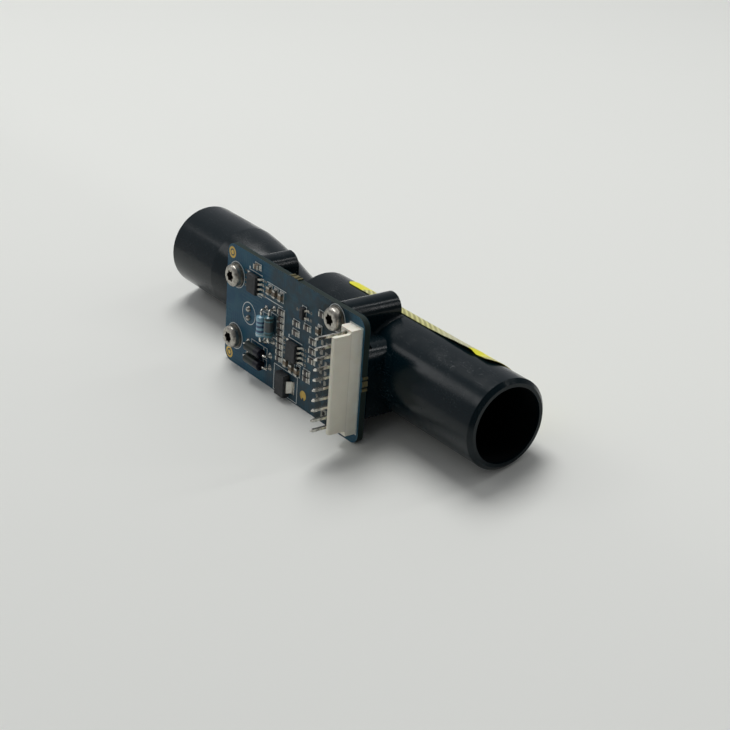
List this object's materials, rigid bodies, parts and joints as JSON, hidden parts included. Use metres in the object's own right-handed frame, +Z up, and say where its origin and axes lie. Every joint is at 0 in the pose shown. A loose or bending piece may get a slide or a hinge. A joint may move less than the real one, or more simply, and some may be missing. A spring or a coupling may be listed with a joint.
{
  "type": "ventilator flow sensor",
  "caption": "Black breathing-tube flow sensor: a tube that narrows to a throat, with a circuit board, wired and chip parts and a pin header screwed along its side.",
  "frame": {"origin": "on the tube axis at the face of the outlet port, the open end nearest the pin header", "axes": "+X along the tube axis out of the outlet port; +Z up, along the short side of the board; the board faces -Y"},
  "size_m": [0.126, 0.0388, 0.0319],
  "materials": {
    "tube_plastic": "black moulded plastic, semi-gloss",
    "seal_rubber": "dark rubber, matte",
    "plug_plastic": "dark grey plastic, matte",
    "post_metal": "tinned wire",
    "film_ceramic": "white ceramic film carrier",
    "board_laminate": "blue-green solder mask over glass laminate",
    "screw_steel": "plain stainless steel",
    "insert_brass": "knurled brass, plain",
    "header_nylon": "cream nylon",
    "tin": "tin-plated copper alloy",
    "package_black": "black moulding compound",
    "resist_dark": "dark glazed resistor film",
    "capacitor_tan": "tan ceramic",
    "resistor_blue": "pale blue dipped coating",
    "label_yellow": "bare yellow sticker, no print"
  },
  "bodies": {
    "root": {"inlet_cone": "tube_plastic", "tube_body": "tube_plastic", "joint_ring": "seal_rubber", "probe_plug": "plug_plastic", "probe_seal": "seal_rubber", "probe_posts": "post_metal", "film_element": "film_ceramic", "circuit_board": "board_laminate", "board_screws": "screw_steel", "screw_washers": "screw_steel", "thread_inserts": "insert_brass", "header_housing": "header_nylon", "header_pins": "tin", "amplifier_bodies": "package_black", "amplifier_leads": "tin", "transistor_body": "package_black", "transistor_leads": "tin", "power_block": "package_black", "power_tabs": "tin", "resistor_chips": "resist_dark", "capacitor_chips": "capacitor_tan", "chip_ends": "tin", "bridge_resistors": "resistor_blue", "bridge_wires": "post_metal", "diode_bodies": "package_black", "diode_wires": "post_metal", "label": "label_yellow"}
  },
  "joints": []
}
